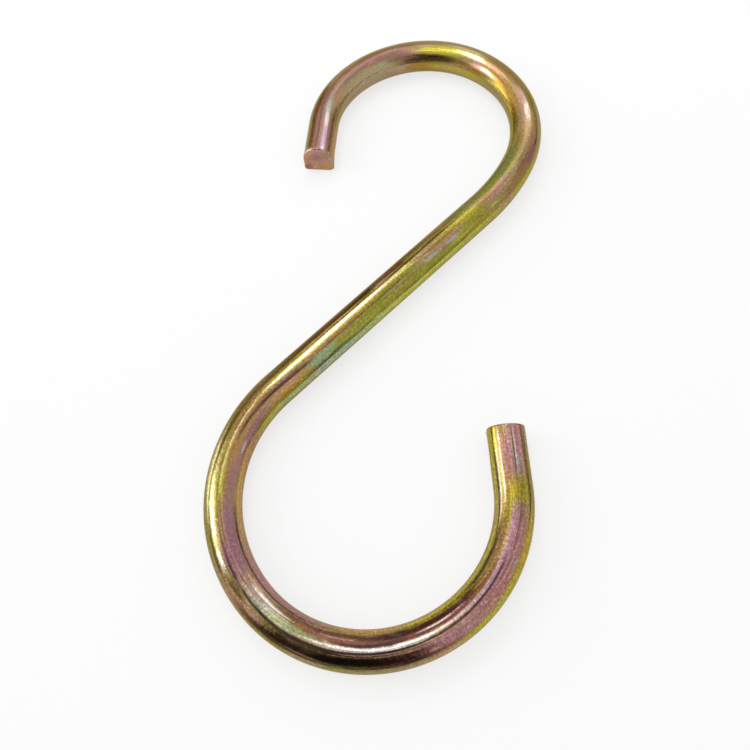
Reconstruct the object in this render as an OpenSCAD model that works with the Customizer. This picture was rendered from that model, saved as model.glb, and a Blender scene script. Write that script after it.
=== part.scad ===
// S hook, bent cold from one length of round steel rod, then plated.
// A straight shank runs slantwise between two open hooks that face opposite ways,
// the lower one a little larger. Each is bent in stretches that tighten towards its tip,
// and both ends are cropped in a shear and left as cut.
// It lies flat on the floor, +Z up, with the middles of its two bends on a line along Y.

/* [Rod] */
// Diameter of the rod
rod_d = 8; // [6:0.5:10]
// Straight length of the shank between the two hooks
shank_l = 67; // [55:1:85]

/* [Upper hook] */
// Radius of the gentle sweep next to the shank, to the middle of the rod
upper_sweep_r = 50; // [40:1:70]
// Angle that the sweep turns through
upper_sweep_a = 20; // [12:1:28]
// Radius of the shoulder between the sweep and the bend
upper_shoulder_r = 30; // [26:0.5:34]
// Angle of the shoulder
upper_shoulder_a = 76; // [60:1:86]
// Radius of the bend over the crown and down to the tip
upper_bend_r = 26; // [22:0.5:30]
// Angle of the bend
upper_bend_a = 125; // [110:1:135]
// Straight length from the bend to the cut
upper_tip_l = 12.3; // [8:0.1:16]
// Lean of the cut face, back towards the upper side of the rod
upper_cut_a = 0; // [0:1:14]

/* [Lower hook] */
// Radius of the shoulder next to the shank, to the middle of the rod
lower_shoulder_r = 33; // [29:0.5:38]
// Angle of the shoulder
lower_shoulder_a = 89; // [75:1:95]
// Radius of the bend over the crown and up to the tip
lower_bend_r = 29.5; // [25:0.5:33]
// Angle of the bend
lower_bend_a = 139; // [125:1:145]
// Straight length from the bend to the cut
lower_tip_l = 13.5; // [8:0.1:16]
// Lean of the cut face, back towards the upper side of the rod
lower_cut_a = 10; // [0:1:14]

/* [Cropped ends] */
// Radius of the two underside corners that the shear presses square
corner_r = 2.3; // [2:0.1:2.7]
// Length over which these corners run out into the round rod
corner_l = 5; // [4:0.5:7]
// Height of the pressed corners above the lowest line of the rod
corner_lift = 0.1; // [0.05:0.05:0.3]

/* [Hidden] */
$fn = 96;
rod_r = rod_d / 2;
// Every other stretch is drawn slimmer by this at the radius, so that its ends
// seat inside the stretches next to it
slim = 0.02;
// Length of such a seat
lap = 0.3;

// Radius and angle of each curved stretch, from the shank outwards
upper_run = [[upper_sweep_r, upper_sweep_a], [upper_shoulder_r, upper_shoulder_a],
             [upper_bend_r, upper_bend_a]];
lower_run = [[lower_shoulder_r, lower_shoulder_a], [lower_bend_r, lower_bend_a]];

function turned(p, a) = [p.x * cos(a) - p.y * sin(a), p.x * sin(a) + p.y * cos(a)];

// End of a stretch of radius r and angle a that starts at the origin along X
function sweep_end(r, a) = [r * sin(a), r * (1 - cos(a))];

// Heading and place after the first n stretches of a run
function run_turn(run, n) = n == 0 ? 0 : run_turn(run, n - 1) + run[n - 1][1];
function run_place(run, n) = n == 0 ? [0, 0] :
    run_place(run, n - 1)
    + turned(sweep_end(run[n - 1][0], run[n - 1][1]), run_turn(run, n - 1));

// Middle of the last bend of a run, measured from the end of the shank
function bend_middle(run) =
    let (n = len(run) - 1) run_place(run, n) + turned([0, run[n][0]], run_turn(run, n));

// Points a few degrees apart on the middle line of a run, then its cut end
function run_line(run, tip_l) = concat(
    [for (n = [0:len(run) - 1], i = [0:60])
        run_place(run, n) + turned(sweep_end(run[n][0], run[n][1] * i / 60), run_turn(run, n))],
    [run_place(run, len(run)) + turned([tip_l, 0], run_turn(run, len(run)))]);

// The shank lies along X at first, with the upper hook on its +X end
half_shank = [shank_l / 2, 0];
upper_line = [for (p = run_line(upper_run, upper_tip_l)) p + half_shank];
lower_line = [for (p = run_line(lower_run, lower_tip_l)) -p - half_shank];

// Turn that sets the line from the lower to the upper bend's middle along Y
pull = bend_middle(upper_run) + bend_middle(lower_run) + 2 * half_shank;
heading = 90 - atan2(pull.y, pull.x);

// Middle of the box around the turned hook, which becomes the origin
line_all = [for (p = concat(upper_line, lower_line)) turned(p, heading)];
mid_x = (max([for (p = line_all) p.x]) + min([for (p = line_all) p.x])) / 2;
mid_y = (max([for (p = line_all) p.y]) + min([for (p = line_all) p.y])) / 2;

// Straight rod along X, with a seat at its start and end if it is a slim one
module rod(l, seated) {
    rr = seated ? rod_r - slim : rod_r;
    more = seated ? lap : 0;
    translate([-more, 0, 0]) rotate([0, 90, 0]) cylinder(r = rr, h = l + 2 * more);
}

// Rod swept to the left through angle a at radius r, starting along X
module sweep(r, a, seated) {
    rr = seated ? rod_r - slim : rod_r;
    more = seated ? lap / r * 180 / PI : 0;
    translate([0, r, 0]) rotate(-90 - more)
        rotate_extrude(angle = a + 2 * more) translate([r, 0]) circle(r = rr);
}

// Carries its children on to the end of such a sweep
module after_sweep(r, a) {
    translate([0, r, 0]) rotate(a) translate([0, -r, 0]) children();
}

// One underside corner, a slim rod that rises out of the round one towards the cut
module pressed_corner(l, side) {
    reach = (rod_r - corner_r) * 0.9;
    out = (rod_r - corner_r - corner_lift) * sqrt(2);
    slope = atan2(out - reach, corner_l);
    rotate([180 - side * 45, 0, 0]) translate([l - corner_l, 0, reach])
        rotate([0, 90 - slope, 0]) cylinder(r = corner_r, h = corner_l + rod_r);
}

// Straight tip of length l, with its underside corners pressed and its face cropped at a lean
module cropped_tip(l, lean, seated) {
    difference() {
        union() {
            rod(l + rod_r, seated);
            for (side = [-1, 1]) pressed_corner(l, side);
        }
        translate([l, 0, 0]) rotate([0, -lean, 0])
            translate([0, -rod_d, -rod_d]) cube(2 * rod_d);
    }
}

// The stretches of a run one after the other from the end of the shank, then the tip
module arm(run, tip_l, lean, n = 0) {
    seated = n % 2 == 1;
    if (n < len(run)) {
        sweep(run[n][0], run[n][1], seated);
        after_sweep(run[n][0], run[n][1]) arm(run, tip_l, lean, n + 1);
    } else {
        cropped_tip(tip_l, lean, seated);
    }
}

module hook() {
    color("#B59B4E")
    translate([-mid_x, -mid_y, rod_r]) rotate(heading) {
        translate([-shank_l / 2, 0, 0]) rod(shank_l, true);
        translate([shank_l / 2, 0, 0]) arm(upper_run, upper_tip_l, upper_cut_a);
        rotate(180) translate([shank_l / 2, 0, 0]) arm(lower_run, lower_tip_l, lower_cut_a);
    }
}

hook();
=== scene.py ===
import math

import bmesh
import bpy
import numpy as np
from mathutils import Matrix, Vector, noise


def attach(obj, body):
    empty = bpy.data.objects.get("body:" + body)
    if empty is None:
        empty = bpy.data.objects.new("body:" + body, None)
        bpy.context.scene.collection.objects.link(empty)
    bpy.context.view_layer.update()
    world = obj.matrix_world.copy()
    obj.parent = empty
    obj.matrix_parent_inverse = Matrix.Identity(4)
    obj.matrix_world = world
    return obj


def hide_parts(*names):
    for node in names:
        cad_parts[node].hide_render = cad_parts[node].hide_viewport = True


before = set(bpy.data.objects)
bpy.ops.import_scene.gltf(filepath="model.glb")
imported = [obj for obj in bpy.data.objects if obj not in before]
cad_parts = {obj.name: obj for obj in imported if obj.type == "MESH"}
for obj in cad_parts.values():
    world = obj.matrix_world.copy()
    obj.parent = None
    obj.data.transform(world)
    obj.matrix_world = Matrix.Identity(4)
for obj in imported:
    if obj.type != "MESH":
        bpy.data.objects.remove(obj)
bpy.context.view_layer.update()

# ---------------------------------------------------------------- sizes
# The source's own sizes, in millimetres and degrees. Lengths stay in millimetres
# below, and turn to metres only where they go into Blender.
MM = 0.001
ROD_R = 4.0
SHANK_L = 67.0
# Radius and angle of each stretch of a hook, from the shank outwards
UPPER_RUN = [(50.0, 20.0), (30.0, 76.0), (26.0, 125.0)]
UPPER_TIP_L = 12.3
LOWER_RUN = [(33.0, 89.0), (29.5, 139.0)]
LOWER_TIP_L = 13.5
# Heading of the shank and the middle of the box before it became the origin
HEADING = 51.55184
BOX_MID = (2.15216, 0.70735)
# Length over which the pressed corners run out into the round rod, and one over which
# the lean of a cut does
CORNER_L = 5.0
LEAN_L = 6.0
# Rounding of the rim of each cut face, and how far in from the edge its rings lie
CUT_RIM_R = 0.35
CUT_RINGS = (0.04, 0.1, 0.18, 0.26, 0.35, *np.arange(0.6, 3.9, 0.25))
# Each cropped tip: the lean of its cut and the twist of its pressed corners, the radius of
# the left and the right corner at the cut, and how far its underside is pressed up there
TIPS = [("upper", 0.0, 4.0, (0.8, 1.4), 0.2), ("lower", 10.0, 0.0, (1.2, 1.2), 0.1)]
# Named inputs of the sweep that makes the rod, in metres
SWEEP_SIZES = {"Rod radius": ROD_R * MM, "Ring spacing": 0.65 * MM, "Sides": 144}
UP = np.array((0.0, 0.0, 1.0))


# ---------------------------------------------------------------- helpers
def srgb(code):
    """Linear colour of an sRGB hex value."""
    parts = [int(code[i:i + 2], 16) / 255 for i in (1, 3, 5)]
    return tuple(c / 12.92 if c <= 0.04045 else ((c + 0.055) / 1.055) ** 2.4 for c in parts) + (1.0,)


def node(tree, kind, settings=None, **sockets):
    """A node with its settings, and each socket given a value or linked from another socket.
    A socket goes by its name with _ for a space, or by _ and its number."""
    made = tree.nodes.new(kind)
    for name, value in (settings or {}).items():
        setattr(made, name, value)
    for name, value in sockets.items():
        key = int(name[1:]) if name[0] == "_" and name[1:].isdigit() else name.replace("_", " ")
        socket = made.inputs[key]
        if isinstance(value, bpy.types.NodeSocket):
            tree.links.new(value, socket)
        else:
            socket.default_value = value
    return made


def emptied_tree(made):
    """The node tree of a new material or world, with nothing in it."""
    made.use_nodes = True
    made.node_tree.nodes.clear()
    return made.node_tree


WHITE = srgb("#FFFFFF")


# ---------------------------------------------------------------- the rod's middle line
def run_points(run, tip_l, step):
    """Places along one hook's middle line, from the end of the shank at the origin."""
    place, heading, points = Vector((0, 0)), 0.0, []
    for radius, angle in run:
        angle = math.radians(angle)
        count = max(2, round(radius * angle / step))
        side = Matrix.Rotation(heading, 2)
        for i in range(count):
            t = angle * i / count
            points.append(place + side @ Vector((radius * math.sin(t), radius * (1 - math.cos(t)))))
        place = place + side @ Vector((radius * math.sin(angle), radius * (1 - math.cos(angle))))
        heading += angle
    ahead = Vector((math.cos(heading), math.sin(heading)))
    count = round(tip_l / step)
    points += [place + ahead * (tip_l * i / count) for i in range(count + 1)]
    return points


def rod_line(step=0.25):
    """The whole middle line in the hook's frame, from the upper tip to the lower one."""
    half = Vector((SHANK_L / 2, 0))
    upper = [p + half for p in run_points(UPPER_RUN, UPPER_TIP_L, step)]
    lower = [-p - half for p in run_points(LOWER_RUN, LOWER_TIP_L, step)]
    shank = [half - Vector((step * i, 0)) for i in range(1, round(SHANK_L / step))]
    turn, mid = Matrix.Rotation(math.radians(HEADING), 2), Vector(BOX_MID)
    return [turn @ p - mid for p in upper[::-1] + shank + lower]


# ---------------------------------------------------------------- the swept rod
def sweep_tree(finish):
    """Geometry Nodes tree that sweeps a round rod along a line and keeps each point's
    place on the rod as it was before bending: length along it, then left and up."""
    tree = bpy.data.node_groups.new("bent_rod", "GeometryNodeTree")
    tree.interface.new_socket("Line", in_out="INPUT", socket_type="NodeSocketGeometry")
    for name, size in SWEEP_SIZES.items():
        kind = "NodeSocketInt" if isinstance(size, int) else "NodeSocketFloat"
        tree.interface.new_socket(name, in_out="INPUT", socket_type=kind).default_value = size
    tree.interface.new_socket("Rod", in_out="OUTPUT", socket_type="NodeSocketGeometry")
    given = node(tree, "NodeGroupInput")
    rings = node(tree, "GeometryNodeResampleCurve", {"mode": "LENGTH"},
                 Curve=given.outputs["Line"], Length=given.outputs["Ring spacing"])
    flat = node(tree, "GeometryNodeSetCurveNormal", {"mode": "Z_UP"}, Curve=rings.outputs[0])
    along = node(tree, "GeometryNodeSplineParameter")
    middle = node(tree, "GeometryNodeInputPosition")
    ahead = node(tree, "GeometryNodeInputTangent")
    keep = node(tree, "GeometryNodeCaptureAttribute", {"domain": "POINT"}, Geometry=flat.outputs[0])
    for kind, name, source in (("FLOAT", "along", along.outputs["Length"]),
                               ("VECTOR", "middle", middle.outputs[0]),
                               ("VECTOR", "ahead", ahead.outputs[0])):
        keep.capture_items.new(kind, name)
        tree.links.new(source, keep.inputs[name])
    outline = node(tree, "GeometryNodeCurvePrimitiveCircle", {"mode": "RADIUS"},
                   Resolution=given.outputs["Sides"], Radius=given.outputs["Rod radius"])
    rod = node(tree, "GeometryNodeCurveToMesh", Curve=keep.outputs["Geometry"],
               Profile_Curve=outline.outputs[0], Fill_Caps=False)
    off = node(tree, "ShaderNodeVectorMath", {"operation": "SUBTRACT"},
               _0=middle.outputs[0], _1=keep.outputs["middle"])
    left = node(tree, "ShaderNodeVectorMath", {"operation": "CROSS_PRODUCT"},
                _0=(0, 0, 1), _1=keep.outputs["ahead"])
    aside = node(tree, "ShaderNodeVectorMath", {"operation": "DOT_PRODUCT"},
                 _0=off.outputs[0], _1=left.outputs[0])
    height = node(tree, "ShaderNodeSeparateXYZ", _0=off.outputs[0])
    straight = node(tree, "ShaderNodeCombineXYZ", X=keep.outputs["along"],
                    Y=aside.outputs["Value"], Z=height.outputs["Z"])
    stored = node(tree, "GeometryNodeStoreNamedAttribute",
                  {"data_type": "FLOAT_VECTOR", "domain": "POINT"},
                  Geometry=rod.outputs[0], Name="straight_rod", Value=straight.outputs[0])
    real = node(tree, "GeometryNodeRealizeInstances", Geometry=stored.outputs[0])
    coated = node(tree, "GeometryNodeSetMaterial", Geometry=real.outputs[0], Material=finish)
    node(tree, "NodeGroupOutput", _0=coated.outputs[0])
    return tree


def swept_rod(finish):
    """Plain mesh of the rod swept along its line, still open at both ends."""
    line = bpy.data.curves.new("rod_line", "CURVE")
    line.dimensions = "3D"
    points = rod_line()
    spline = line.splines.new("POLY")
    spline.points.add(len(points) - 1)
    spline.points.foreach_set("co", [c for p in points for c in (p.x * MM, p.y * MM, ROD_R * MM, 1)])
    carrier = bpy.data.objects.new("rod_line", line)
    bpy.context.scene.collection.objects.link(carrier)
    sweep = carrier.modifiers.new("sweep", "NODES")
    sweep.node_group = sweep_tree(finish)
    for item in sweep.node_group.interface.items_tree:
        if item.item_type == "SOCKET" and item.in_out == "INPUT" and item.name in SWEEP_SIZES:
            sweep[item.identifier] = SWEEP_SIZES[item.name]
    depsgraph = bpy.context.evaluated_depsgraph_get()
    mesh = bpy.data.meshes.new_from_object(carrier.evaluated_get(depsgraph),
                                           preserve_all_data_layers=True, depsgraph=depsgraph)
    bpy.data.objects.remove(carrier)
    bpy.data.curves.remove(line)
    return mesh


# ---------------------------------------------------------------- the cropped ends
def corner_reach(theta, back, sharp, lift):
    """Radius of the rod's outline at an angle from the top: round above, and below it a
    square whose corners sharpen over the last stretch before the cut, down to the
    radius sharp, and whose lower side lies higher by lift. back is the distance from
    the cut."""
    near = np.clip(1 - back / CORNER_L, 0, 1)
    # the power leaves most of the sharpening to the last millimetre or two
    radius = ROD_R - (ROD_R - sharp) * near ** 2.2
    low = ROD_R - lift * near
    # kept off zero, because both are divided by
    aside, down = np.maximum(np.abs(np.sin(theta)), 1e-9), np.maximum(-np.cos(theta), 1e-9)
    middle_y, middle_z = ROD_R - radius, low - radius
    along = aside * middle_y + down * middle_z
    room = along ** 2 - middle_y ** 2 - middle_z ** 2 + radius ** 2
    corner, flank, base = along + np.sqrt(np.clip(room, 0, None)), ROD_R / aside, low / down
    reach = np.where(flank * down <= middle_z, flank, np.where(base * aside <= middle_y, base, corner))
    return np.where(np.cos(theta) < 0, reach, ROD_R)


def closed_rod(mesh):
    """Presses the corners, leans the lower cut and closes both ends with a sheared face
    whose rim is a little rounded. Returns vertices, faces, each vertex's place on the
    straight rod in metres, how far it lies on a cut face, and the rod's length."""
    count = len(mesh.vertices)
    co, straight = np.empty(count * 3), np.empty(count * 3)
    mesh.vertices.foreach_get("co", co)
    mesh.attributes["straight_rod"].data.foreach_get("vector", straight)
    co, straight = co.reshape(-1, 3), straight.reshape(-1, 3)
    faces = [tuple(p.vertices) for p in mesh.polygons]
    length = straight[:, 0].max()
    theta = np.arctan2(straight[:, 1], straight[:, 2])
    verts, places, cut = [co], [straight], [np.zeros(count)]
    # lengths closer than this, in mm, are of one ring
    same = 1e-4
    for tip, lean, twist, sharp, lift in TIPS:
        back = (straight[:, 0] if tip == "upper" else length - straight[:, 0]) / MM
        edge = np.flatnonzero(back < same)
        edge = edge[np.argsort(theta[edge])]
        next_ring = np.flatnonzero(np.abs(back - back[back > same].min()) < same)
        middle, inner = co[edge].mean(0), co[next_ring].mean(0)
        out = (middle - inner) / np.linalg.norm(middle - inner)
        left = np.cross(UP, out) * (-1 if tip == "upper" else 1)
        slope = math.tan(math.radians(lean))
        # the corners pressed square, no lower than the round rod's underside
        grow = corner_reach(theta + math.radians(twist), back, np.where(theta > 0, *sharp), lift) / ROD_R
        centre = co - (left * straight[:, 1:2] + UP * straight[:, 2:3])
        pressed = np.abs(grow - 1) > 1e-6
        straight[pressed, 1:] *= grow[pressed, None]
        straight[pressed, 2] = np.maximum(straight[pressed, 2], -ROD_R * MM)
        co[pressed] = (centre + left * straight[:, 1:2] + UP * straight[:, 2:3])[pressed]
        # the cut leans back towards the upper side, and the last of the rod with it
        co += out * (-straight[:, 2] * slope * np.clip(1 - back / LEAN_L, 0, 1))[:, None]
        # the sheared face, ring by ring towards its middle
        edge_place, last = straight[edge].copy(), edge
        total = sum(len(v) for v in verts)
        for inset in CUT_RINGS:
            yz = edge_place[:, 1:] * (1 - inset / ROD_R)
            drop = (CUT_RIM_R - math.sqrt(CUT_RIM_R ** 2 - max(0.0, CUT_RIM_R - inset) ** 2)) * MM
            point = middle + left * yz[:, :1] + UP * yz[:, 1:] - out * (yz[:, 1:] * slope + drop)
            verts.append(point)
            places.append(np.column_stack([edge_place[:, 0] + (drop if tip == "upper" else -drop), yz]))
            # it looks like cut steel in full from 0.25 mm inside the edge
            cut.append(np.full(len(edge), min(1.0, inset / 0.25)))
            here = np.arange(total, total + len(edge))
            faces += zip(last.tolist(), np.roll(last, -1).tolist(), np.roll(here, -1).tolist(), here.tolist())
            last, total = here, total + len(edge)
        verts.append(point.mean(0)[None])
        places.append(np.array([[edge_place[0, 0], 0, 0]]))
        cut.append(np.ones(1))
        faces += zip(last.tolist(), np.roll(last, -1).tolist(), [total] * len(edge))
        # the edge itself is set back by the rounding
        co[edge] -= out * CUT_RIM_R * MM
    return np.vstack(verts), faces, np.vstack(places), np.concatenate(cut), length


# ---------------------------------------------------------------- tints of the plating, with painted light
# The chromate film on zinc is thinner and thicker from place to place, and each
# thickness gives its own tint.
TINTS = {
    "olive": "#88832A", "yellow_olive": "#A69D36", "green_olive": "#747838", "lime": "#A8AA44",
    "leaf": "#888A32", "yellow": "#CBB548", "bright_gold": "#ECD060", "gold": "#B5893A",
    "mustard": "#A5861F", "old_gold": "#937230", "amber": "#97622A", "moss": "#6A5B22",
    "bog": "#48390F", "moss_green": "#64753C", "bronze": "#80603C", "russet": "#865A40",
    "copper": "#9C7150", "fawn": "#AC8466", "rust": "#74401A", "umber": "#5C3F26",
    "burnt": "#36231A", "near_black": "#1C1614", "oxblood": "#3E1713", "garnet": "#5E332C",
    "plum": "#784A48", "heather": "#8C646C", "mauve": "#936864", "smoke": "#886C60",
    "rose": "#AA776E", "salmon": "#B98680", "orchid": "#A2839A", "dusk": "#A08A78",
    "tan": "#9C8260", "sand": "#B58C58", "sage": "#8C8764", "celadon": "#A2A870",
    "sea_green": "#80A080", "ice": "#8FA39C", "lilac_grey": "#A09A96", "pearl": "#C2B8B2",
    "straw": "#C9BF80", "peach": "#DEB4A2", "putty": "#B8A686", "lichen": "#989270",
    "petal": "#A4767C", "dusty_pink": "#B88E88", "silver": "#DCD4D6",
}
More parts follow.
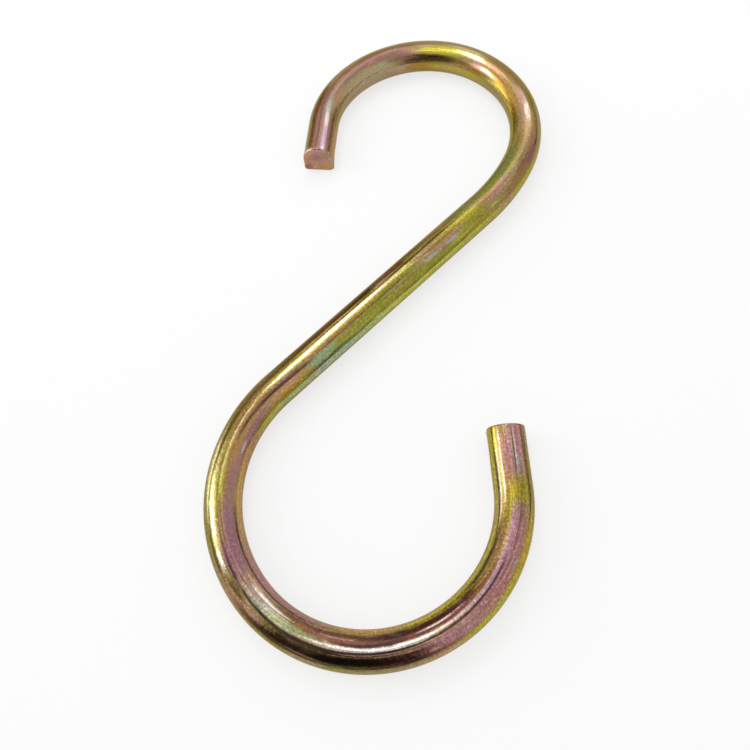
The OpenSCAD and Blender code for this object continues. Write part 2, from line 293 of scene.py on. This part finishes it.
# Tint, place along the rod from the upper tip and round it from the top (+ is left on
# the way to the lower tip), half length and half width, and how fully it covers. Later
# ones lie over earlier ones.
# Most places are patches of the film. Those noted below are painted light: pale tint where lamps mirror, as
# painted highlights, and dark tint where the rod mirrors dark ground or a lamp, as painted reflection and
# painted shade.
PLACES = [
    # upper tip and its bend
    ("smoke", 8, 0, 18, 36, 1), ("fawn", 4, -88, 9, 22, 1), ("olive", 11, -78, 3, 12, .8),
    ("copper", 8, 24, 18, 9, .9), ("sage", 8, 54, 12, 20, .9), ("olive", 6, 42, 8, 7, .5),
    ("mauve", 5, -42, 9, 8, 1), ("orchid", 4, -24, 8, 10, .8), ("rose", 7, 11, 8, 6, .7),
    # the pearl at 11 is pale tint at the end of the tip's highlight: a painted highlight
    ("pearl", 11, -24, 3, 8, .6), ("ice", 16.5, -23, 3, 11, .7), ("fawn", 21, -42, 6, 20, .5),
    ("bronze", 18, -60, 7, 12, .8), ("fawn", 5, -74, 6, 10, .7), ("dusk", 30, -92, 14, 24, .9),
    ("sage", 25, -85, 3, 20, .5), ("smoke", 34, -18, 17, 15, 1), ("russet", 38, 4, 20, 11, .9),
    ("lichen", 32, -54, 12, 16, .8), ("tan", 26, -46, 6, 12, .5), ("lichen", 40, -50, 5, 12, .7),
    ("sage", 37, -84, 4, 14, .5), ("mauve", 44, -26, 9, 12, .7), ("smoke", 40, -10, 13, 6, .7),
    ("rose", 47.5, -20, 1.6, 7, .5), ("rose", 37, -23, 1.6, 8, .5), ("plum", 46.5, -48, 4, 22, .5),
    ("dusk", 46, -90, 4, 24, .8),
    # over the crown of the upper hook
    ("old_gold", 53, -92, 6, 26, 1), ("yellow_olive", 66, -92, 12, 16, .9), ("sage", 80, -92, 8, 14, .6),
    ("umber", 55, -47, 9, 8, 1), ("moss", 64, -56, 5, 9, .9), ("olive", 58, -22, 6.5, 19, 1),
    ("yellow_olive", 59, -20, 6, 18, 1), ("olive", 56, -16, 1.6, 14, .6), ("olive", 59.5, -18, 6, 12, .7),
    ("amber", 73, -61, 7, 6, .8), ("tan", 62, 14, 16, 12, .9), ("yellow_olive", 58, -33, 7, 9, .9),
    # the straw at 67, the pearl at 69 and the pearl at 75.5 are pale tint where lamps mirror on the crown:
    # painted highlights
    ("tan", 74, -28, 8, 9, .9), ("straw", 67, -14, 5, 14, .8), ("pearl", 69, -17, 3.4, 8, .8),
    ("straw", 66, 2, 6, 7, .7), ("salmon", 71, -44, 3, 8, .8), ("pearl", 75.5, -43, 3.5, 8, .85),
    ("rose", 75, -14, 3, 10, .6), ("yellow", 85, -58, 7, 9, 1), ("gold", 84, -36, 9, 13, .9),
    ("old_gold", 78, -30, 4, 5, .6), ("fawn", 79, -18, 5, 9, .7), ("bronze", 80, 6, 8, 14, .8),
    # down the outer side to the shank
    ("sage", 90, -92, 12, 14, .8), ("gold", 92, -44, 6, 9, .7), ("fawn", 93, -14, 8, 12, .9),
    ("yellow_olive", 98, -38, 6, 9, .8), ("tan", 100, -18, 8, 10, .8), ("rose", 90, -4, 4, 6, .7),
    # the pearl at 94.5 is pale tint where a lamp mirrors: a painted highlight
    ("orchid", 90, 8, 4, 7, .6), ("pearl", 94.5, 6, 4, 9, .9), ("bronze", 84, 22, 10, 9, .7),
    ("olive", 97, 30, 8, 9, .6), ("tan", 100, 36, 10, 6, .8), ("tan", 102, 58, 10, 18, .7),
    ("tan", 104, 8, 8, 11, .9), ("old_gold", 107, -20, 6, 14, .9), ("russet", 106, -2, 5, 6, .6),
    ("copper", 104, 28, 6, 10, .8), ("plum", 110, 43, 6.5, 20, .9), ("russet", 113, 36, 4, 10, .5),
    ("yellow_olive", 114, 80, 12, 16, .8), ("green_olive", 115, -22, 9, 20, 1),
    ("tan", 117, 12, 6, 11, .8), ("celadon", 113.5, 12, 2, 6, .4), ("green_olive", 130, -22, 9, 17, 1),
    ("olive", 122, -10, 3, 12, .6), ("rose", 122, 12, 5, 13, .9), ("copper", 127, 6, 3, 8, .6),
    ("bronze", 121, 50, 12, 14, 1), ("sage", 124, 33, 4, 6, .7), ("straw", 125, 44, 2.4, 2.5, .9),
    ("plum", 119.5, 58, 2, 10, .5), ("rose", 121, 72, 2, 14, .8), ("old_gold", 130, 54, 7, 10, .9),
    ("yellow_olive", 128, 80, 8, 14, .9),
    # the shank
    ("moss", 143, -22, 9, 9, .9), ("old_gold", 144, -14, 9, 5, .7), ("bog", 152, -6, 17, 5, 1),
    ("rust", 156, -21, 5, 7, 1), ("yellow_olive", 134, 8, 6, 12, .8), ("old_gold", 143, 14, 8, 8, .8),
    ("copper", 147, 18, 4, 7, .6), ("olive", 152, 54, 34, 15, 1), ("yellow_olive", 136, 50, 4, 12, .6),
    ("lilac_grey", 139.5, 38, 2.4, 7, .9), ("lilac_grey", 145.5, 37, 2.6, 6, .9),
    ("sage", 158, 33, 9, 4, .6), ("lime", 152, 82, 24, 15, 1), ("yellow_olive", 160, 10, 12, 9, .9),
    ("olive", 166, 22, 16, 9, .9), ("bog", 168, -20, 8, 9, .9), ("rust", 176, -22, 9, 7, .9),
    ("amber", 176, -22, 6, 3, .8), ("moss", 189, -18, 8, 9, .9), ("russet", 184, -13, 10, 4, .6),
    # the straw at 172 and the pearl at 181 are pale tint in the shank's lamp highlight: painted highlights
    ("bog", 176, -8, 10, 3, .7), ("umber", 170, -38, 28, 10, .9), ("straw", 172, 3, 22, 6, 1),
    ("pearl", 181, 4, 8, 3, .6), ("leaf", 172, 44, 11, 16, 1), ("moss_green", 180, 60, 7, 5, .7),
    ("sea_green", 181.5, 44, 4, 17, .7), ("celadon", 182, 80, 18, 12, 1),
    ("sea_green", 178, 80, 12, 11, .9), ("ice", 175, 82, 3, 8, .6), ("ice", 183, 76, 3, 9, .7),
    ("plum", 194, 24, 9, 8, 1), ("fawn", 192, 42, 6, 8, .9), ("mustard", 191, 56, 7, 7, .9),
    ("lime", 201, 79, 5, 11, 1),
    # the lower hook's shoulder
    ("moss", 200, -28, 10, 10, .9), ("umber", 199, -19, 8, 7, .8), ("moss", 209, -22, 9, 6, .9),
    ("bronze", 203, -8, 8, 10, .9), ("olive", 218, -8, 11, 8, .9), ("old_gold", 210, -9, 8, 6, .7),
    ("russet", 204, 16, 9, 8, .8), ("copper", 212, 22, 12, 9, .7), ("mauve", 208, 46, 11, 13, 1),
    ("heather", 206, 52, 4, 7, .5), ("rose", 214, 40, 6, 8, .5), ("heather", 226, 38, 11, 14, .7),
    # the straws from 216 to 223 and the pearls at 227 and 235 are pale tint where the left window mirrors:
    # painted highlights
    ("pearl", 209.5, 47, 1.6, 2.5, .9), ("straw", 216, -35, 8, 9, .9), ("straw", 223, -26, 7, 12, .9),
    ("sage", 222, -57, 20, 9, .8), ("straw", 220, -14, 9, 7, .8), ("pearl", 227, -17, 3.4, 6, .8),
    ("pearl", 235, -24, 3, 6, .9), ("yellow_olive", 226, -3, 8, 4, .8), ("copper", 212, 78, 10, 14, .9),
    ("sand", 222, 72, 13, 12, 1), ("petal", 242, 66, 11, 14, .9), ("heather", 233, 24, 10, 20, 1),
    ("heather", 236, 0, 5, 10, 1), ("olive", 229, -44, 7, 8, .9), ("copper", 241, -42, 7, 8, .8),
    ("tan", 241, -58, 8, 9, .9), ("umber", 240, -24, 4, 7, .9), ("fawn", 246, -30, 3, 5, .6),
    # the bottom of the lower hook
    # the silver at 247 is pale tint where a lamp mirrors: a painted highlight
    ("lilac_grey", 244, 4, 4, 8, .8), ("smoke", 244, 12, 5, 5, .9), ("silver", 247, 24, 5, 4.5, 1),
    # the burnt at 266 by -14 darkens along the dark line of the marks: partly a die mark, partly a painted
    # reflection
    ("burnt", 266, -14, 22, 7, .8), ("lilac_grey", 252, 4, 5, 13, .9), ("celadon", 252, 2, 4, 9, .7),
    # the umber at 249, the burnt at 266 by -36, the darkest patch at 263 and the garnet at 277 darken the
    # band round -45 degrees, where the rod's underside mirrors dark ground in front of it: a painted dark
    # reflection
    ("moss_green", 256.5, 6, 5, 11, .9), ("umber", 249, -46, 7, 14, .9), ("bronze", 255, -33, 5, 8, .7),
    ("burnt", 266, -36, 14, 14, .9), ("near_black", 263, -37, 11, 9, .6), ("salmon", 282, -38, 5, 12, .9),
    ("garnet", 277, -50, 9, 10, .9), ("plum", 279, -30, 7, 12, .9), ("plum", 285, -46, 5, 9, .6),
    # the silver at 273 is pale tint where the lamp over the lower bend mirrors: a painted highlight. The
    # garnets at 261, 262, 276 and 290, the oxblood at 283 and the burnt at 268, from 9 to 30 degrees, darken
    # where the strip lamp mirrors: painted shade
    ("silver", 273, -0.5, 17, 4, 1), ("garnet", 262, 30, 16, 9, .9), ("garnet", 276, 9, 16, 6, 1),
    ("oxblood", 283, 20, 18, 17, 1), ("burnt", 268, 14, 10, 11, 1), ("garnet", 290, 10, 8, 4, .8),
    ("garnet", 261, 17, 9, 8, .8), ("petal", 250, 56, 17, 14, .9), ("sand", 268, 52, 6, 11, .9),
    ("yellow", 281, 50, 9, 9, .6), ("sage", 266, -80, 16, 14, .9), ("salmon", 283, -78, 5, 16, .7),
    # the lower hook's rise and its tip
    ("petal", 291, -32, 9, 20, .8), ("petal", 289, -20, 8, 8, .9), ("mauve", 302, -20, 13, 24, .9),
    ("petal", 302, -8, 12, 14, .9), ("yellow_olive", 298, -70, 13, 14, 1), ("mustard", 304, -50, 7, 7, .8),
    ("old_gold", 301, 24, 8, 7, 1), ("russet", 304, 27, 8, 6, .6), ("bog", 300, 37, 9, 6, .9),
    ("yellow_olive", 298, 56, 14, 11, 1), ("sage", 299, 63, 4, 5, .6), ("olive", 315, -10, 3, 54, 1),
    ("moss", 315, -47, 4, 7, .8), ("yellow_olive", 315, 12, 3, 20, .8), ("mustard", 315, -2, 3, 22, .5),
    ("petal", 325, -26, 7, 18, .9), ("garnet", 325, -43, 8, 5, .8), ("petal", 325, -2, 7, 12, .9),
    ("plum", 322, 10, 5, 5, .7), ("salmon", 322, 20, 5, 6, .9), ("sea_green", 301, -36, 1.2, 4, .7),
    ("sea_green", 321, -23, 1, 6, .8), ("old_gold", 318, 32, 9, 10, .8), ("lime", 321, 35, 5, 4, .6),
    ("bright_gold", 325.5, 45, 4, 5, .8), ("tan", 324, -74, 9, 14, .9),
    ("yellow_olive", 321, 64, 12, 10, .8),
    # the rim of the upper cut, peach and pearl where it catches the lamps: painted highlights
    ("peach", 0, 40, 1, 26, 1), ("pearl", 0.4, -24, 1, 6, .9),
]
# Thin lines along the rod: tint, half width in degrees, and the line's places along and round the
# rod. Some are marks of the drawing die and the bending tools; those noted below are painted light.
MARKS = [
    # The peach and putty lines are painted light, laid over the dark line where the rod mirrors its own far
    # side. The gold and bright gold lines after them are partly the film's yellow, partly painted light over
    # that dark line and the mirrored dark panel.
    ("peach", 3.0, [(-4, -53), (8, -53), (14, -56)]),
    ("putty", 5.0, [(10, -53), (15, -56.5), (20, -60), (25, -63.5), (32, -68), (46, -71)]),
    ("gold", 3.4, [(58, -65), (66, -67), (72, -68), (78, -66)]),
    ("bright_gold", 4.6, [(73, -67), (80, -65), (86, -61), (91, -57), (96, -50)]),
    ("yellow_olive", 4.0, [(92, -56), (96, -50), (104, -44), (114, -38)]),
    ("burnt", 3.0, [(182, 31), (192, 28), (202, 22), (209, 20)]),
    ("burnt", 2.4, [(222, 54), (235, 47), (248, 44), (258, 43)]),
    ("umber", 3.0, [(220, 7), (228, 8), (236, 9), (244, 10)]),
    # this dark line, and the tan, pearl and salmon lines further down, are partly die lines, partly painted
    # reflections of them at the edge of the lamp's highlight
    ("near_black", 3.4, [(230, -2), (242, -7), (252, -12), (262, -13), (272, -13), (282, -11),
                   (292, -8), (303, -4)]),
    # dark band along the underside of the lower bend, where the rod mirrors dark ground: a painted dark
    # reflection
    ("near_black", 4.6, [(244, -44), (254, -52), (268, -55), (282, -51)]),
    ("tan", 1.8, [(253, -21), (266, -23), (278, -22), (290, -17)]),
    ("pearl", 1.2, [(258, -8), (270, -8), (284, -6)]),
    ("salmon", 1.2, [(262, -17), (274, -17), (288, -13)]),
    ("orchid", 2.4, [(284, 1), (300, 2), (314, 3)]),
    ("burnt", 2.2, [(307, -47), (318, -48), (330, -53)]),
    # these three dark lines along the shank's lower edge lie where the rod mirrors the horizon: painted dark
    # reflections
    ("bog", 2.2, [(164, 66), (176, 66), (188, 65)]),
    ("bog", 2.2, [(132, 67), (150, 68), (166, 66)]),
    ("moss", 2.4, [(184, 67), (196, 68), (208, 64)]),
    ("bog", 3.4, [(200, -19), (208, -22), (216, -26), (226, -30), (240, -42)]),
    ("salmon", 2.4, [(236, -37), (244, -36), (250, -34)]),
    # pale line where a lamp mirrors: a painted highlight
    ("straw", 2.0, [(198, 6), (210, 5), (222, 4)]),
    ("umber", 1.2, [(218, -3), (226, -1), (234, -3)]),
    # partly the film's gold, partly painted light over the dark line where the rod mirrors its own far side
    ("yellow", 2.6, [(276, 38), (286, 38), (294, 37)]),
    # pale line where a lamp mirrors: a painted highlight
    ("silver", 1.4, [(241, 20), (247, 22), (254, 23)]),
    ("burnt", 2.0, [(290, 39), (304, 43), (312, 49), (330, 54)]),
    ("umber", 1.6, [(292, -18), (303, -16), (314, -15)]),
    # the pearl and straw lines from here to the tip are pale die lines laid where lamps mirror, partly
    # painted highlights
    ("pearl", 1.4, [(278, 16), (284, 16), (290, 17)]),
    ("salmon", 1.8, [(294, -26), (310, -24)]),
    ("pearl", 1.6, [(317, -16), (330, -14)]),
    ("garnet", 1.6, [(316, -11), (330, -10)]),
    ("straw", 1.6, [(320, -6), (330, -5)]),
    ("pearl", 2.0, [(310, 29), (320, 29), (330, 31)]),
    ("pearl", 2.6, [(307, 43), (318, 42), (326, 41)]),
    # these straw and silver lines are pale lines in the shank's lamp highlight: painted highlights
    ("straw", 1.8, [(144, 24), (151, 12), (158, 4)]),
    ("straw", 1.6, [(152, 6), (164, 5), (174, 4)]),
    ("silver", 2.4, [(158, 4), (170, 3), (184, 4), (196, 6)]),
    ("bog", 2.4, [(132, -5), (150, -5), (165, -7), (178, -9)]),
    ("umber", 2.0, [(152, 24), (165, 25), (184, 26)]),
    ("amber", 1.8, [(160, 20), (172, 20), (186, 20)]),
    ("yellow", 1.6, [(160, 13), (176, 12), (190, 11)]),
    ("yellow", 1.6, [(164, -12), (176, -13), (188, -12)]),
    ("old_gold", 1.8, [(56, -8), (64, -8), (72, -4)]),
    ("plum", 1.8, [(0, 2), (8, 2), (18, 2)]),
]
# On the cut faces: tint, left and up from the middle in mm, and half width.
FACE_PLACES = [("gold", 2.7, 0.4, 1.5), ("gold", -0.2, -2.9, 1.6), ("russet", 3.0, -2.2, 1.2),
               ("sand", -3.0, -2.2, 1.8), ("mauve", 0.2, 1.0, 1.8), ("tan", -2.4, 1.4, 1.6)]


def film_tints_and_painted_light(places, cut):
    """Tint of the film at each place on the straight rod (metres in, linear colour out), with painted
    highlights, painted shade and painted reflections among its patches and lines.
    """
    along, left, up = (places / MM).T
    angle = np.degrees(np.arctan2(left, up))
    # how the patches' edges stray: broadly, finely, and drawn out along the rod
    wander, ripple, thread = (
        np.array([noise.noise(Vector(p)) for p in zip(along * a, left * b + c, up * b)])
        for a, b, c in ((0.13, 0.35, 0), (0.5, 1.1, 30), (0.16, 1.6, 60)))
    base = {name: np.array(srgb(code)[:3]) for name, code in TINTS.items()}
    # the ground, olive in some places and tan in others
    share = np.clip(0.5 + 1.6 * wander, 0, 1)[:, None]
    tint = base["olive"] * (1 - share) + base["tan"] * share
    for name, s, a, half_l, half_a, cover in PLACES:
        turn = (angle - a + 180) % 360 - 180
        off = np.hypot((along - s) / half_l, turn / half_a) + 0.3 * wander + 0.25 * ripple + 0.3 * thread
        # soft edges, about a quarter of the patch wide; 50 only keeps exp from overflowing
        weight = (cover / (1 + np.exp(np.minimum((off - 0.95) * 8, 50))))[:, None]
        tint = tint * (1 - weight) + base[name] * weight
    for name, half, line in MARKS:
        stops = np.array(line, float)
        turn = angle - np.interp(along, stops[:, 0], stops[:, 1])
        # a line runs out over 4 mm at its ends, and is fainter here and there
        ends = np.clip(np.minimum(along - stops[0, 0], stops[-1, 0] - along) / 4, 0, 1)
        weight = (ends * np.clip(1.1 + 0.9 * ripple, 0, 1) * np.exp(-(turn / half) ** 2))[:, None]
        tint = tint * (1 - weight) + base[name] * weight
    # the cut faces, a little mottled
    face = 1.05 * base["dusty_pink"] * (1 + 0.1 * ripple[:, None])
    for name, y, z, half in FACE_PLACES:
        weight = 0.85 * np.exp(-((left - y) ** 2 + (up - z) ** 2) / half ** 2)[:, None]
        face = face * (1 - weight) + base[name] * weight
    return tint * (1 - cut[:, None]) + face * cut[:, None]


# ---------------------------------------------------------------- materials
def plated_steel():
    """Drawn mild steel rod with bright zinc plating and a yellow chromate film.
    The film gives the eye patches of olive, gold and mauve over a metal shine, the
    drawing die leaves fine lines along the rod, and the zinc a fine freckled grain. Brighter
    specks in the base colour are painted glints, and some of the film's patches and lines
    are painted highlights, painted shade and painted reflections."""
    made = bpy.data.materials.new("yellow_chromated_zinc_on_drawn_steel")
    tree = emptied_tree(made)
    place, tint, face, wear = (node(tree, "ShaderNodeAttribute", {"attribute_name": name}).outputs
                               for name in ("straight_rod", "tint_with_painted_light", "cut_face", "roughened"))
    # millimetres on the straight rod, with the patterns' own origin off the middle of the cut
    mm = node(tree, "ShaderNodeVectorMath", {"operation": "MULTIPLY_ADD"}, _0=place["Vector"],
              _1=(1 / MM, 1 / MM, 1 / MM), _2=(17.3, 15.7, 29.1))
    # die lines: 0.5 mm across, some 25 mm long
    lengthwise = node(tree, "ShaderNodeMapping", Vector=mm.outputs[0], Scale=(0.035, 2.0, 2.0))
    die = node(tree, "ShaderNodeTexNoise", Vector=lengthwise.outputs[0],
               Scale=1.0, Detail=3.0, Roughness=0.65)
    # freckled grain of the zinc, about 0.6 mm, coarser than the real one so that it shows,
    # and glints between the freckles, painted into the base colour as brighter specks
    grain = node(tree, "ShaderNodeTexNoise", Vector=mm.outputs[0], Scale=1.7, Detail=2.0, Roughness=0.65)
    speck = node(tree, "ShaderNodeTexNoise", Vector=mm.outputs[0], Scale=2.3, Detail=1.0, Roughness=0.5)
    # the film's own clouds, 2.5 mm across and 7 mm along the rod
    drawn_out = node(tree, "ShaderNodeMapping", Vector=mm.outputs[0], Scale=(0.14, 0.4, 0.4))
    cloud = node(tree, "ShaderNodeTexNoise", Vector=drawn_out.outputs[0],
                 Scale=1.0, Detail=2.0, Roughness=0.5)
    # each pattern's span, and what it gives at the two ends of that span
    rosy, yellowed, freckle, glint, streak, dull = (
        node(tree, "ShaderNodeMapRange", Value=pattern.outputs["Fac"],
             From_Min=low, From_Max=high, To_Min=least, To_Max=most).outputs[0]
        for pattern, low, high, least, most in ((die, 0.5, 0.7, 0.0, 0.6),
                                                (cloud, 0.5, 0.7, 0.0, 0.25),
                                                (grain, 0.36, 0.64, 0.76, 1.2),
                                                (speck, 0.58, 0.68, 1.0, 1.5),
                                                (die, 0.36, 0.64, 0.78, 1.24),
                                                (grain, 0.3, 0.7, 0.13, 0.26)))
    # the film turns rosy along the die lines and yellow in its clouds
    film = tint["Color"]
    for share, hue in ((rosy, "#FFDCD4"), (yellowed, "#FFF8CC")):
        film = node(tree, "ShaderNodeMix", {"data_type": "RGBA", "blend_type": "MULTIPLY"},
                    Factor=share, A=film, B=srgb(hue)).outputs["Result"]
    # the freckles' tone times the painted glints
    spotted = node(tree, "ShaderNodeMath", {"operation": "MULTIPLY"}, _0=freckle, _1=glint)
    grain_lines_and_painted_glints = node(tree, "ShaderNodeMath", {"operation": "MULTIPLY"}, _0=spotted.outputs[0], _1=streak)
    # the upper hook was handled less, and its grain and painted glints are fainter
    softened = node(tree, "ShaderNodeMix", {"data_type": "FLOAT"}, Factor=wear["Fac"],
                    A=1.0, B=grain_lines_and_painted_glints.outputs[0])
    bright = node(tree, "ShaderNodeVectorMath", {"operation": "SCALE"}, _0=film,
                  Scale=softened.outputs[0])
    # a cut face is duller than the drawn rod
    rough = node(tree, "ShaderNodeMix", {"data_type": "FLOAT"}, Factor=face["Fac"], A=dull, B=0.48)
    lines = node(tree, "ShaderNodeBump", Strength=1.0, Distance=0.05 * MM, Height=die.outputs["Fac"])
    peel = node(tree, "ShaderNodeBump", Strength=1.0, Distance=0.03 * MM, Height=grain.outputs["Fac"],
                Normal=lines.outputs[0])
    metal = node(tree, "ShaderNodeBsdfPrincipled", Base_Color=bright.outputs[0], Metallic=1.0,
                 Roughness=rough.outputs[0], Normal=peel.outputs[0], Specular_Tint=srgb("#DCD2B2"),
                 Coat_Weight=0.2, Coat_Roughness=0.1, Coat_Normal=peel.outputs[0])
    node(tree, "ShaderNodeOutputMaterial", Surface=metal.outputs[0])
    return made


# ---------------------------------------------------------------- the hook
def hook_piece(finish):
    """The rod from tip to tip as one closed mesh, which stands for the CAD node."""
    verts, faces, places, cut, length = closed_rod(swept_rod(finish))
    mesh = bpy.data.meshes.new("bent_hook")
    mesh.from_pydata(verts.tolist(), [], faces)
    mesh.materials.append(finish)
    # little grain on the upper hook, and on the smooth mauve inside of the lower shoulder
    along, angle = places[:, 0] / MM, np.degrees(np.arctan2(places[:, 1], places[:, 2]))
    roughened = np.interp(along, (0, 55, 85, 130, 200, 330), (0.45, 0.35, 0.5, 0.8, 1, 1))
    roughened *= 1 - 0.6 * np.exp(-((along - 218) / 30) ** 2 - ((angle - 42) / 32) ** 2)
    tint = np.column_stack([film_tints_and_painted_light(places, cut), np.ones(len(places))])
    for name, kind, field, values in (("straight_rod", "FLOAT_VECTOR", "vector", places),
                                      ("cut_face", "FLOAT", "value", cut),
                                      ("roughened", "FLOAT", "value", roughened),
                                      ("tint_with_painted_light", "FLOAT_COLOR", "color", tint)):
        mesh.attributes.new(name, kind, "POINT").data.foreach_set(field, values.ravel())
    mesh.validate()
    work = bmesh.new()
    work.from_mesh(mesh)
    bmesh.ops.recalc_face_normals(work, faces=work.faces)
    if work.calc_volume(signed=True) < 0:
        bmesh.ops.reverse_faces(work, faces=work.faces)
    open_edges = sum(1 for e in work.edges if len(e.link_faces) != 2)
    print("hook piece: faces", len(work.faces), "open edges", open_edges,
          "volume cm3", round(work.calc_volume() * 1e6, 3), "length mm", round(length / MM, 2))
    work.to_mesh(mesh)
    work.free()
    for polygon in mesh.polygons:
        polygon.use_smooth = True
    piece = bpy.data.objects.new("bent_hook", mesh)
    bpy.context.scene.collection.objects.link(piece)
    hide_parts("hook")
    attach(piece, "root")


# ---------------------------------------------------------------- studio
def direction(azimuth, polar):
    """Unit vector at an angle from straight up, azimuth counted from +X towards +Y."""
    a, p = math.radians(azimuth), math.radians(polar)
    return Vector((math.sin(p) * math.cos(a), math.sin(p) * math.sin(a), math.cos(p)))


def card(name, corners, colour, strength):
    """A flat panel of the studio, seen by the object but not by the camera. Its corners are
    in metres. A dark one only shades what the metal mirrors, and lets the floor's light by."""
    made = bpy.data.materials.new(name)
    tree = emptied_tree(made)
    shine = node(tree, "ShaderNodeEmission", Color=colour, Strength=strength)
    node(tree, "ShaderNodeOutputMaterial", Surface=shine.outputs[0])
    mesh = bpy.data.meshes.new(name)
    mesh.from_pydata([tuple(c) for c in corners], [], [tuple(range(len(corners)))])
    mesh.materials.append(made)
    panel = bpy.data.objects.new(name, mesh)
    panel.visible_camera = False
    if strength <= 1:
        panel.visible_diffuse = panel.visible_shadow = False
    bpy.context.scene.collection.objects.link(panel)


def level_lamp(name, height, strength, corners):
    """A white panel that lies level over the floor, its corners given as x and y."""
    card(name, [(x, y, height) for x, y in corners], WHITE, strength)


def far_card(name, away, corners, colour, strength):
    """A panel around the hook, its corners given as azimuth and angle from straight up."""
    card(name, [direction(a, p) * away for a, p in corners], colour, strength)


def seen_directly(tree):
    """1 for rays of the camera and those that metal or glass sends on, 0 for other light."""
    ray = node(tree, "ShaderNodeLightPath").outputs
    seen = ray["Is Camera Ray"]
    for kind in ("Is Glossy Ray", "Is Transmission Ray"):
        seen = node(tree, "ShaderNodeMath", {"operation": "MAXIMUM"}, _0=seen, _1=ray[kind]).outputs[0]
    return seen


def studio_air():
    """White all round, and a little dimmer as a light than it looks."""
    world = bpy.data.worlds.new("studio_air")
    tree = emptied_tree(world)
    level = node(tree, "ShaderNodeMapRange", Value=seen_directly(tree), To_Min=0.75, To_Max=1.0)
    air = node(tree, "ShaderNodeBackground", Color=WHITE, Strength=level.outputs[0])
    node(tree, "ShaderNodeOutputWorld", Surface=air.outputs[0])
    bpy.context.scene.world = world


def pale_floor():
    """Matt pale floor, shown near white with the hook's shadow kept."""
    made = bpy.data.materials.new("pale_floor")
    tree = emptied_tree(made)
    share = node(tree, "ShaderNodeMath", {"operation": "MULTIPLY"}, _0=seen_directly(tree), _1=0.7)
    paint = node(tree, "ShaderNodeBsdfDiffuse", Color=srgb("#F6F6F6"))
    white = node(tree, "ShaderNodeEmission", Color=WHITE, Strength=1.0)
    both = node(tree, "ShaderNodeMixShader", _0=share.outputs[0], _1=paint.outputs[0], _2=white.outputs[0])
    node(tree, "ShaderNodeOutputMaterial", Surface=both.outputs[0])
    mesh = bpy.data.meshes.new("floor")
    mesh.from_pydata([(-3, -3, 0), (3, -3, 0), (3, 3, 0), (-3, 3, 0)], [], [(0, 1, 2, 3)])
    mesh.materials.append(made)
    floor = bpy.data.objects.new("floor", mesh)
    # a hair below the hook's underside
    floor.location.z = -0.02 * MM
    bpy.context.scene.collection.objects.link(floor)


def studio():
    """Air, floor, lamps and dark panels around the hook."""
    studio_air()
    pale_floor()
    # soft panel over the hook, a strip in it and a lamp at its far end
    level_lamp("soft_panel", 0.3, 1.75, [(-0.013, -0.005), (-0.08, -0.001), (-0.109, 0.09), (-0.028, 0.352)])
    level_lamp("strip_lamp", 0.298, 5.0, [(-0.008, 0.104), (-0.062, 0.15), (-0.08, 0.095), (-0.044, 0.078)])
    level_lamp("far_lamp", 0.299, 5.0, [(-0.1, 0.1), (-0.035, 0.335), (-0.014, 0.361), (-0.16, 0.146)])
    # narrow lamp high over the lower bend
    level_lamp("low_lamp", 0.6, 3.2, [(-0.12, 0.015), (-0.125, -0.088), (-0.089, -0.104), (-0.052, -0.095),
                                      (-0.013, -0.082), (0.029, -0.076), (0.055, -0.05), (0.06, -0.005),
                                      (-0.011, 0.058), (-0.056, 0.024), (-0.092, 0.016)])
    # lamps behind
    level_lamp("back_lamp", 0.3, 2.9, [(-0.005, 0.3), (0.24, 0.39), (0.24, 0.49), (0.02, 0.4)])
    level_lamp("side_lamp", 0.3, 2.1, [(0.03, 0.18), (0.075, 0.23), (0.1, 0.3), (0.04, 0.38), (0, 0.28),
                                       (0.01, 0.2)])
    # window on the left, down to the horizon
    far_card("left_window", 1.6, [(166, 42), (178, 40), (200, 56), (200, 66), (164, 66)], WHITE, 3.6)
    far_card("left_low_window", 1.6, [(158, 67), (184, 67), (184, 97), (158, 97)], WHITE, 2.4)
    # dark side where the photographer stands, and dark corners of the room
    far_card("dark_front", 0.47, [(-132, 100), (-64, 100), (-66, 52), (-84, 41), (-108, 39), (-132, 44)],
             srgb("#65615F"), 1.0)
    card("dark_back_left", [(-0.234, 0.198, 0), (-0.15, 0.264, 0),
                            (-0.15, 0.264, 0.15), (-0.234, 0.198, 0.1)], srgb("#A28E69"), 1.0)
    far_card("dark_back_right", 1.8, [(30, 97), (66, 97), (62, 78), (36, 80)], srgb("#95866C"), 1.0)


def photo_camera():
    """Camera at the photograph's place: some 60 degrees above the front, rolled a little."""
    data = bpy.data.cameras.new("photo_camera")
    data.sensor_width = 36.0
    data.lens = 35.4423
    data.clip_start, data.clip_end = 0.01, 20.0
    camera = bpy.data.objects.new("photo_camera", data)
    right, up = (0.986281, 0.128374, -0.103776), (-0.067821, 0.888284, 0.454259)
    back = (0.150497, -0.440989, 0.884804)
    turn = Matrix((right, up, back)).transposed().to_4x4()
    camera.matrix_world = Matrix.Translation(Vector((23.072, -94.065, 148.997)) * MM) @ turn
    bpy.context.scene.collection.objects.link(camera)
    bpy.context.scene.camera = camera


bpy.context.scene.view_settings.view_transform = "Standard"
photo_camera()
studio()
hook_piece(plated_steel())
